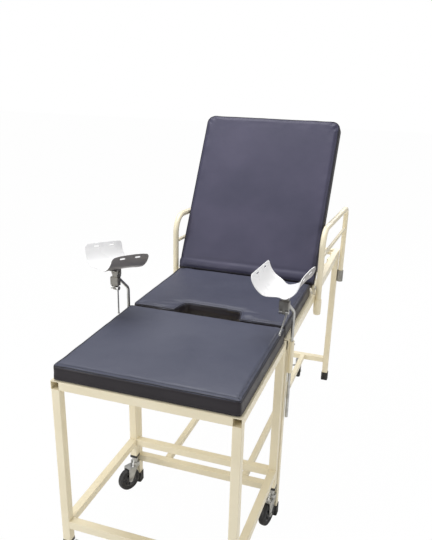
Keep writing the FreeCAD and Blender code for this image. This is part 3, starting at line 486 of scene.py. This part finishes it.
def tube_along(name, points, radius, sides, material, closed=True):
    """A thin round welt along a line of points."""
    verts = []
    faces = []
    count = len(points)
    for index, point in enumerate(points):
        before = points[index - 1] if closed or index > 0 else point
        after = points[(index + 1) % count] if closed or index < count - 1 else point
        ahead = (after - before).normalized()
        out = ahead.cross(Vector((0, 0, 1)))
        if out.length < 0.01:
            out = Vector((1, 0, 0))
        out.normalize()
        up = out.cross(ahead)
        for side in range(sides):
            angle = 2 * math.pi * side / sides
            verts.append(point + out * (radius * math.cos(angle)) + up * (radius * math.sin(angle)))
    rings = count if closed else count - 1
    for ring in range(rings):
        after = (ring + 1) % count
        for side in range(sides):
            other = (side + 1) % sides
            faces.append((ring * sides + side, ring * sides + other,
                          after * sides + other, after * sides + side))
    if not closed:
        faces.append(tuple(range(sides)))
        faces.append(tuple((count - 1) * sides + side for side in reversed(range(sides))))
    return mesh_object(name, verts, faces, [material])


def group_input(group, name, kind, value=None):
    item = group.interface.new_socket(name, in_out="INPUT", socket_type=kind)
    if value is not None:
        item.default_value = value


def instance_group(name, along):
    """Places copies of an item along a curve, or on points that each say which way they face."""
    group = bpy.data.node_groups.new(name, "GeometryNodeTree")
    group_input(group, "Geometry", "NodeSocketGeometry")
    group_input(group, "Item", "NodeSocketObject")
    group_input(group, "Spacing", "NodeSocketFloat", 0.0064)
    group_input(group, "Seed", "NodeSocketInt", 3)
    group_input(group, "Material", "NodeSocketMaterial")
    group.interface.new_socket("Geometry", in_out="OUTPUT", socket_type="NodeSocketGeometry")
    nodes = group.nodes
    links = group.links
    source = nodes.new("NodeGroupInput")
    sink = nodes.new("NodeGroupOutput")
    item = nodes.new("GeometryNodeObjectInfo")
    item.transform_space = "ORIGINAL"
    item.inputs["As Instance"].default_value = True
    links.new(source.outputs["Item"], item.inputs["Object"])
    place = nodes.new("GeometryNodeInstanceOnPoints")
    turn = nodes.new("FunctionNodeAlignRotationToVector")
    if along:
        dots = nodes.new("GeometryNodeCurveToPoints")
        dots.mode = "LENGTH"
        links.new(source.outputs["Geometry"], dots.inputs["Curve"])
        links.new(source.outputs["Spacing"], dots.inputs["Length"])
        links.new(dots.outputs["Points"], place.inputs["Points"])
        turn.axis = "X"
        links.new(dots.outputs["Tangent"], turn.inputs["Vector"])
    else:
        facing = nodes.new("GeometryNodeInputNamedAttribute")
        facing.data_type = "FLOAT_VECTOR"
        facing.inputs["Name"].default_value = "facing"
        links.new(source.outputs["Geometry"], place.inputs["Points"])
        turn.axis = "Z"
        links.new(facing.outputs["Attribute"], turn.inputs["Vector"])
    wobble = nodes.new("FunctionNodeRandomValue")
    wobble.data_type = "FLOAT"
    wobble.inputs["Min"].default_value = 0.96
    wobble.inputs["Max"].default_value = 1.04
    links.new(source.outputs["Seed"], wobble.inputs["Seed"])
    links.new(item.outputs["Geometry"], place.inputs["Instance"])
    links.new(turn.outputs["Rotation"], place.inputs["Rotation"])
    links.new(wobble.outputs[1], place.inputs["Scale"])
    real = nodes.new("GeometryNodeRealizeInstances")
    paint = nodes.new("GeometryNodeSetMaterial")
    links.new(place.outputs["Instances"], real.inputs["Geometry"])
    links.new(real.outputs["Geometry"], paint.inputs["Geometry"])
    links.new(source.outputs["Material"], paint.inputs["Material"])
    links.new(paint.outputs["Geometry"], sink.inputs["Geometry"])
    return group


ALONG_CURVE = instance_group("along_curve", True)
ON_POINTS = instance_group("on_points", False)


def instanced(name, holder, group, item, material, spacing=0.0064, seed=3):
    """Runs a group on its holder and keeps the result as one plain mesh."""
    modifier = holder.modifiers.new("copies", "NODES")
    modifier.node_group = group
    entries = group.interface.items_tree
    sockets = {entry.name: entry.identifier for entry in entries if entry.in_out == "INPUT"}
    modifier[sockets["Item"]] = item
    modifier[sockets["Spacing"]] = spacing
    modifier[sockets["Seed"]] = seed
    modifier[sockets["Material"]] = material
    graph = bpy.context.evaluated_depsgraph_get()
    mesh = bpy.data.meshes.new_from_object(holder.evaluated_get(graph))
    mesh.materials.clear()
    mesh.materials.append(material)
    mesh.polygons.foreach_set("material_index", [0] * len(mesh.polygons))
    bpy.data.objects.remove(holder)
    return link(name, mesh)


def discard(obj):
    bpy.data.objects.remove(obj)


def thread_item():
    """One stitch, 4.2 mm long, with its ends drawn down into the vinyl."""
    verts = []
    faces = []
    radius = 0.0006
    for along, rise in ((-0.0021, -0.3), (-0.0012, 0.7), (0.0012, 0.7), (0.0021, -0.3)):
        for side in range(4):
            angle = math.pi / 4 + math.pi / 2 * side
            verts.append((along, radius * math.cos(angle), radius * (rise + math.sin(angle))))
    for ring in range(3):
        for side in range(4):
            other = (side + 1) % 4
            base = ring * 4
            faces.append((base + side, base + other, base + 4 + other, base + 4 + side))
    faces.append((3, 2, 1, 0))
    faces.append((12, 13, 14, 15))
    obj = mesh_object("stitch", verts, faces, [THREAD])
    fix_normals(obj)
    return obj


def stitches(name, points, spacing):
    data = bpy.data.curves.new(name, "CURVE")
    data.dimensions = "3D"
    spline = data.splines.new("POLY")
    spline.points.add(len(points) - 1)
    for target, point in zip(spline.points, points):
        target.co = (*point, 1.0)
    spline.use_cyclic_u = True
    item = thread_item()
    result = instanced(name, link(name, data), ALONG_CURVE, item, THREAD, spacing)
    discard(item)
    return result


def dome_item(radius, height, sides=20):
    """A round fastener head: a flat rim, a low dome and a shallow round socket."""
    rings = ((1.0, 0.0), (1.0, 0.35), (0.9, 0.7), (0.7, 0.92), (0.46, 1.0), (0.42, 0.62))
    verts = []
    faces = []
    for reach, rise in rings:
        for side in range(sides):
            angle = 2 * math.pi * side / sides
            verts.append((radius * reach * math.cos(angle), radius * reach * math.sin(angle), height * rise))
    for ring in range(len(rings) - 1):
        for side in range(sides):
            other = (side + 1) % sides
            base = ring * sides
            faces.append((base + side, base + other, base + sides + other, base + sides + side))
    faces.append(tuple(side for side in reversed(range(sides))))
    last = (len(rings) - 1) * sides
    faces.append(tuple(last + side for side in range(sides)))
    return mesh_object("head", verts, faces, [PLATED], smooth=False)


def heads(name, body, spots, radius, height, material=None):
    """Fastener heads of one size on one body: each spot is a place and the way it faces."""
    mesh = bpy.data.meshes.new(name)
    mesh.from_pydata([place for place, _ in spots], [], [])
    facing = mesh.attributes.new("facing", "FLOAT_VECTOR", "POINT")
    for entry, (_, way) in zip(facing.data, spots):
        entry.vector = way
    item = dome_item(radius, height)
    obj = instanced(name, link(name, mesh), ON_POINTS, item, material or PLATED)
    discard(item)
    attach(obj, body)
    return obj


def surface_of(obj):
    return BVHTree.FromPolygons([v.co.copy() for v in obj.data.vertices],
                                [tuple(polygon.vertices) for polygon in obj.data.polygons])


def outward(line, index):
    ahead = line[(index + 1) % len(line)] - line[index - 1]
    return Vector((ahead.y, -ahead.x, 0.0)).normalized()


def on_side(tree, line, height):
    """A seam's points on the pad's own side, at one height."""
    points = []
    for index, point in enumerate(line):
        out = outward(line, index)
        spot = Vector((point.x, point.y, height))
        hit = tree.ray_cast(spot + out * 0.03, -out, 0.06)[0]
        points.append(hit or spot)
    return points


def on_top(tree, line, inset):
    """Points on the pad's top, set in from a seam."""
    points = []
    for index, point in enumerate(line):
        spot = point - outward(line, index) * inset
        hit = tree.ray_cast(Vector((spot.x, spot.y, PAD_TOP + 0.03)), Vector((0, 0, -1)), 0.06)[0]
        points.append(hit or spot)
    return points


def fold(obj, start, marks):
    """Rolls the back mattress over at its lower edge, and lays a wavy fold just above it."""
    for vertex in obj.data.vertices:
        x, y, z = vertex.co
        if z < PAD_TOP - 0.02:
            continue
        wave = 0.004 * noise.noise(Vector((x * 5.0, 2.0, 0.5)))
        for place, width, depth in marks:
            away = (y - start - place - wave) / width
            vertex.co.z -= depth * math.exp(-away * away)


def raise_mesh(obj):
    obj.data.transform(RAISE)
    obj.data.update()


def box_edge(half, y0, y1):
    def distance(x, y):
        return max(0.0, min(half - abs(x), y - y0, y1 - y))
    return distance


def cut_pockets(obj, start):
    """Hollows in the back mattress's lower corners for the hinge lugs and the deck's ears."""
    cutters = bmesh.new()
    for across in (-1, 1):
        box = bmesh.ops.create_cube(cutters, size=1.0)
        spot = Matrix.Translation((across * 0.322, start + 0.0325, PAD_BASE + 0.0135))
        size = Matrix.Diagonal((0.030, 0.085, 0.051, 1.0))
        bmesh.ops.transform(cutters, matrix=spot @ size, verts=box["verts"])
    mesh = bpy.data.meshes.new("pockets")
    cutters.to_mesh(mesh)
    cutters.free()
    cutter = link("pockets", mesh)
    cut = obj.modifiers.new("pockets", "BOOLEAN")
    cut.operation = "DIFFERENCE"
    cut.solver = "EXACT"
    cut.object = cutter
    apply_modifiers(obj)
    bpy.data.objects.remove(cutter)


def mattress(name, node, body, outline, edge, seed, marks, top, hinge=False, pressure=4.0, inset=0.003):
    shrunk = []
    count = len(outline)
    for index, point in enumerate(outline):
        ahead = (outline[(index + 1) % count] - outline[index - 1]).normalized()
        inward = Vector((-ahead.y, ahead.x))
        shrunk.append(point + inward * inset)
    pad = extrude_outline(name, shrunk, PAD_BASE + 0.0006, PAD_TOP - 0.0035)
    puff(pad, 0.006, pressure, 0.006, 0.0015)
    crease(pad, seed, 22.0, 0.0016, edge)
    dent(pad, marks)
    if hinge:
        fold(pad, BACK_START, BACK_FOLDS)
    smooth = pad.modifiers.new("smooth", "CORRECTIVE_SMOOTH")
    smooth.iterations = 2
    detail = pad.modifiers.new("detail", "SUBSURF")
    detail.levels = 1
    detail.render_levels = 1
    apply_modifiers(pad)
    tree = surface_of(pad)
    if hinge:
        cut_pockets(pad, BACK_START)
    two_tone(pad, top, SIDE_VINYL)
    seam_line = spaced(shrunk, 0.006)
    upper = on_side(tree, seam_line, PAD_TOP - UPPER_SEAM)
    lower = on_side(tree, seam_line, PAD_BASE + LOWER_SEAM)
    if hinge:
        lower = [point for point in lower if point.y > HINGE.y + POCKET_END]
    welts = [tube_along(name + "_piping_upper", upper, 0.0020, 6, PIPING),
             tube_along(name + "_piping_lower", lower, 0.0016, 6, PIPING, closed=not hinge)]
    inner = on_top(tree, upper, STITCH_INSET)
    thread = stitches(name + "_stitches", inner, STITCH_PITCH)
    for obj in [pad] + welts + [thread]:
        if hinge:
            raise_mesh(obj)
        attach(obj, body)
    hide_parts(node)
    return pad


def seat_outline():
    half = SEAT_HALF
    y0 = MAIN_FRONT
    y1 = SEAT_BACK
    mouth = 0.128
    back = 0.114
    end = y0 + 0.082
    corner = 0.014
    nick = 0.016
    points = []

    def arc(x, y, radius, start, stop, count=6):
        for index in range(count + 1):
            angle = math.radians(start + (stop - start) * index / count)
            points.append(Vector((x + radius * math.cos(angle), y + radius * math.sin(angle))))

    points.append(Vector((mouth, y0)))
    arc(half - corner, y0 + corner, corner, -90.0, 0.0)
    arc(half - corner, y1 - corner, corner, 0.0, 90.0)
    arc(-half + corner, y1 - corner, corner, 90.0, 180.0)
    arc(-half + corner, y0 + corner, corner, 180.0, 270.0)
    points.append(Vector((-mouth, y0)))
    arc(-back + nick, end - nick, nick, 180.0, 90.0)
    arc(back - nick, end - nick, nick, 90.0, 0.0)
    return spaced(points, 0.008)


def seat_edge(x, y):
    outer = box_edge(SEAT_HALF, MAIN_FRONT, SEAT_BACK)(x, y)
    notch = max(abs(x) - 0.121, y - (MAIN_FRONT + 0.082))
    return max(0.0, min(outer, notch)) if notch > 0 else 0.0


def mattresses():
    foot = spaced(rounded_outline(FOOT_HALF, -HALF_LENGTH, FOOT_BACK, 0.014, 0.014, 0.004), 0.008)
    foot_edge = box_edge(FOOT_HALF, -HALF_LENGTH, FOOT_BACK)
    # The foot pad's top takes the lighter, painted-light copy of the seat vinyl.
    mattress("foot_pad", "foot_mattress", "foot_section", foot, foot_edge, 1.3,
             ((0.05, -0.62, 0.20, 0.16, 0.0022), (-0.16, -0.72, 0.09, 0.07, 0.0012)), FOOT_VINYL_PAINTED_LIGHT)
    mattress("seat_pad", "seat_mattress", "main_section", seat_outline(), seat_edge, 4.1,
             ((0.0, -0.05, 0.20, 0.10, 0.0022), (0.0, SEAT_BACK, 0.6, 0.012, 0.004)), VINYL)
    head = BACK_START + BACK_LENGTH
    back = spaced(rounded_outline(BACK_HALF, BACK_START, head, 0.010, 0.040, 0.004), 0.008)
    mattress("back_pad", "back_mattress", "backrest", back, box_edge(BACK_HALF, BACK_START, head), 7.7,
             ((0.02, BACK_START + 0.36, 0.18, 0.22, 0.0020),), BACK_VINYL, hinge=True)


mattresses()


# Saddles

ROD_TOPS = {"left": Vector((-0.326, -0.415)), "right": Vector((0.315, -0.415))}
TONGUE_SET = 0.012
SADDLE_BOTTOM = 1.0078
SADDLE_WALL = 0.0025
SADDLE_HALF_WIDTH = 0.082
SADDLE_DEPTH = 0.076
SADDLE_WAIST = 0.060
SADDLE_LONG = 0.085
SADDLE_RIM = 0.083
SADDLE_CORNER = 0.016
SLOT_BELOW_RIM = 0.014
SLOT_HALF_SPACING = 0.034
# Each saddle's turn on its rod, its tilt along its length and its sideways lean, in degrees.
SADDLE_STANCE = {"left": (-27.0, -5.0, 4.0), "right": (-7.0, 3.0, -1.0)}
SADDLE_SHIFT = {"left": -0.005, "right": -0.010}


def saddle_reach(angle):
    """Half the saddle's length at an angle up from its bottom: a waist, a belly and rounded wings."""
    share = abs(angle) / math.radians(30.0)
    if share < 1.0:
        return SADDLE_WAIST + (SADDLE_LONG - SADDLE_WAIST) * math.sin(math.pi * share / 2) ** 2
    reach = SADDLE_LONG - (SADDLE_LONG - SADDLE_RIM) * math.sin(math.pi * (share - 1.0) / 4) ** 1.6
    below = SADDLE_DEPTH * math.cos(angle)
    if below < SADDLE_CORNER:
        left = 1.0 - below / SADDLE_CORNER
        reach -= SADDLE_CORNER * (1.0 - math.sqrt(max(0.0, 1.0 - left * left)))
    return reach


def saddle_shell(name):
    """The curved sheet about its own bottom point, its axis along Y."""
    columns = 72
    rows = 40
    verts = []
    faces = []
    for column in range(columns + 1):
        angle = math.radians(-89.0 + 178.0 * column / columns)
        reach = saddle_reach(angle)
        for row in range(rows + 1):
            along = -1.0 + 2.0 * row / rows
            flare = 1.0 + 0.035 * abs(along) ** 3
            verts.append(Vector((SADDLE_HALF_WIDTH * flare * math.sin(angle), along * reach,
                                 SADDLE_DEPTH * (1.0 - math.cos(angle)) - 0.003 * abs(along) ** 3)))
    for column in range(columns):
        for row in range(rows):
            base = column * (rows + 1) + row
            faces.append((base, base + rows + 1, base + rows + 2, base + 1))
    shell = mesh_object(name, verts, faces, [WHITE, UNDERSIDE_PAINTED_SHADE])
    solid = shell.modifiers.new("wall", "SOLIDIFY")
    solid.thickness = SADDLE_WALL
    solid.offset = 0.0
    # The wall's second face takes the grey enamel, which paints in the underside's shade.
    solid.material_offset = 1
    solid.material_offset_rim = 0
    apply_modifiers(shell)
    return shell


def slot_cutters(name):
    build = bmesh.new()
    for across in (-1, 1):
        for along in (-1, 1):
            box = bmesh.ops.create_cube(build, size=1.0)
            spot = Matrix.Translation((across * SADDLE_HALF_WIDTH, along * SLOT_HALF_SPACING,
                                       SADDLE_DEPTH - SLOT_BELOW_RIM))
            size = Matrix.Diagonal((0.04, 0.022, 0.0055, 1.0))
            bmesh.ops.transform(build, matrix=spot @ size, verts=box["verts"])
    mesh = bpy.data.meshes.new(name)
    build.to_mesh(mesh)
    build.free()
    return link(name, mesh)


def saddle(side):
    place = ROD_TOPS[side]
    turn, tilt, lean = (math.radians(value) for value in SADDLE_STANCE[side])
    shell = saddle_shell(side + "_saddle_shell")
    cutter = slot_cutters(side + "_slots")
    cut = shell.modifiers.new("slots", "BOOLEAN")
    cut.operation = "DIFFERENCE"
    cut.solver = "EXACT"
    cut.object = cutter
    soften = shell.modifiers.new("soften", "BEVEL")
    soften.width = 0.0009
    soften.segments = 2
    soften.limit_method = "ANGLE"
    soften.angle_limit = math.radians(50)
    apply_modifiers(shell)
    bpy.data.objects.remove(cutter)
    shell.data.polygons.foreach_set("use_smooth", [True] * len(shell.data.polygons))
    stance = Matrix.Rotation(turn, 4, "Z") @ Matrix.Rotation(tilt, 4, "X") @ Matrix.Rotation(lean, 4, "Y")
    seat = Matrix.Translation((place.x + SADDLE_SHIFT[side], place.y - TONGUE_SET, SADDLE_BOTTOM))
    shell.data.transform(seat @ stance)
    shell.data.update()
    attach(shell, side + "_saddle")
    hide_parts(side + "_saddle")
    spots = []
    for along in (-1, 1):
        spot = seat @ stance @ Vector((0.0, along * 0.020, SADDLE_WALL / 2))
        spots.append((tuple(spot), tuple(stance.to_3x3() @ Vector((0, 0, 1)))))
    heads(side + "_saddle_rivets", side + "_saddle", spots, 0.0042, 0.0014, WHITE)


for side_name in ROD_TOPS:
    saddle(side_name)


# Castors

def lathe(name, profile, sides, material, place):
    """Turns a profile of (distance along the axle, radius) about the axle."""
    verts = []
    faces = []
    rings = len(profile)
    for step in range(sides):
        angle = 2 * math.pi * step / sides
        for along, radius in profile:
            verts.append(place @ Vector((along, radius * math.sin(angle), radius * math.cos(angle))))
    for step in range(sides):
        after = (step + 1) % sides
        for ring in range(rings):
            other = (ring + 1) % rings
            faces.append((step * rings + ring, after * rings + ring,
                          after * rings + other, step * rings + other))
    obj = mesh_object(name, verts, faces, [material])
    fix_normals(obj)
    return obj


def wheel_profile(radius, half):
    """The tyre's crowned tread, its shoulders, and the step down to the hub."""
    inner = radius * 0.64
    points = []
    for index in range(9):
        share = -1.0 + 2.0 * index / 8
        points.append((half * 0.72 * share, radius - 0.0012 * share * share))
    points += [(half * 0.88, radius - 0.0028), (half * 0.98, radius - 0.0065), (half, radius - 0.011)]
    points += [(half * 0.97, inner + 0.004), (half * 0.86, inner + 0.001), (half * 0.80, inner - 0.002)]
    points += [(-half * 0.80, inner - 0.002), (-half * 0.86, inner + 0.001), (-half * 0.97, inner + 0.004)]
    points += [(-half, radius - 0.011), (-half * 0.98, radius - 0.0065), (-half * 0.88, radius - 0.0028)]
    return points


def hub_profile(radius, half, bore):
    inner = radius * 0.64
    return [(-half * 0.78, inner), (-half * 0.78, inner * 0.90), (-half * 0.30, inner * 0.84),
            (-half * 0.30, inner * 0.46), (-half * 0.92, inner * 0.40), (-half * 0.92, bore),
            (half * 0.92, bore), (half * 0.92, inner * 0.40), (half * 0.30, inner * 0.46),
            (half * 0.30, inner * 0.84), (half * 0.78, inner * 0.90), (half * 0.78, inner)]


def ribs(name, radius, half, count, material, place):
    """Flat ribs that stiffen the hub's web."""
    build = bmesh.new()
    inner = radius * 0.64
    for index in range(count):
        angle = 2 * math.pi * index / count
        box = bmesh.ops.create_cube(build, size=1.0)
        size = Matrix.Diagonal((half * 1.30, 0.0032, inner * 0.52, 1.0))
        out = Matrix.Translation((0, 0, inner * 0.64))
        turn = Matrix.Rotation(angle, 4, "X")
        bmesh.ops.transform(build, matrix=place @ turn @ out @ size, verts=box["verts"])
    mesh = bpy.data.meshes.new(name)
    build.to_mesh(mesh)
    build.free()
    mesh.materials.append(material)
    return link(name, mesh)


CASTORS = (
    ("foot_castor_front_left", -0.300, -0.905, 0.100, 0.027, -18.0),
    ("foot_castor_front_right", 0.300, -0.905, 0.100, 0.027, 22.0),
    ("foot_castor_rear_left", -0.300, -0.369, 0.100, 0.027, 154.0),
    ("foot_castor_rear_right", 0.300, -0.369, 0.100, 0.027, 168.0),
    ("main_castor_left", -0.145, 0.905, 0.075, 0.022, 168.0),
    ("main_castor_right", 0.145, 0.905, 0.075, 0.022, 196.0),
)


def castor_details():
    for name, x, y, size, width, turn in CASTORS:
        radius = size / 2
        half = width / 2
        trail = 0.036 * size / 0.100
        place = (Matrix.Translation((x, y, 0)) @ Matrix.Rotation(math.radians(turn), 4, "Z")
                 @ Matrix.Translation((0, trail, radius)))
        tyre = lathe(name + "_tyre", wheel_profile(radius, half), 64, TYRE, place)
        hub = lathe(name + "_hub", hub_profile(radius, half, 0.0052), 48, HUB, place)
        web = ribs(name + "_hub_ribs", radius, half, 8, HUB, place)
        for obj in (tyre, hub, web):
            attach(obj, name + "_wheel")
        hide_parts(name + "_wheel")


castor_details()
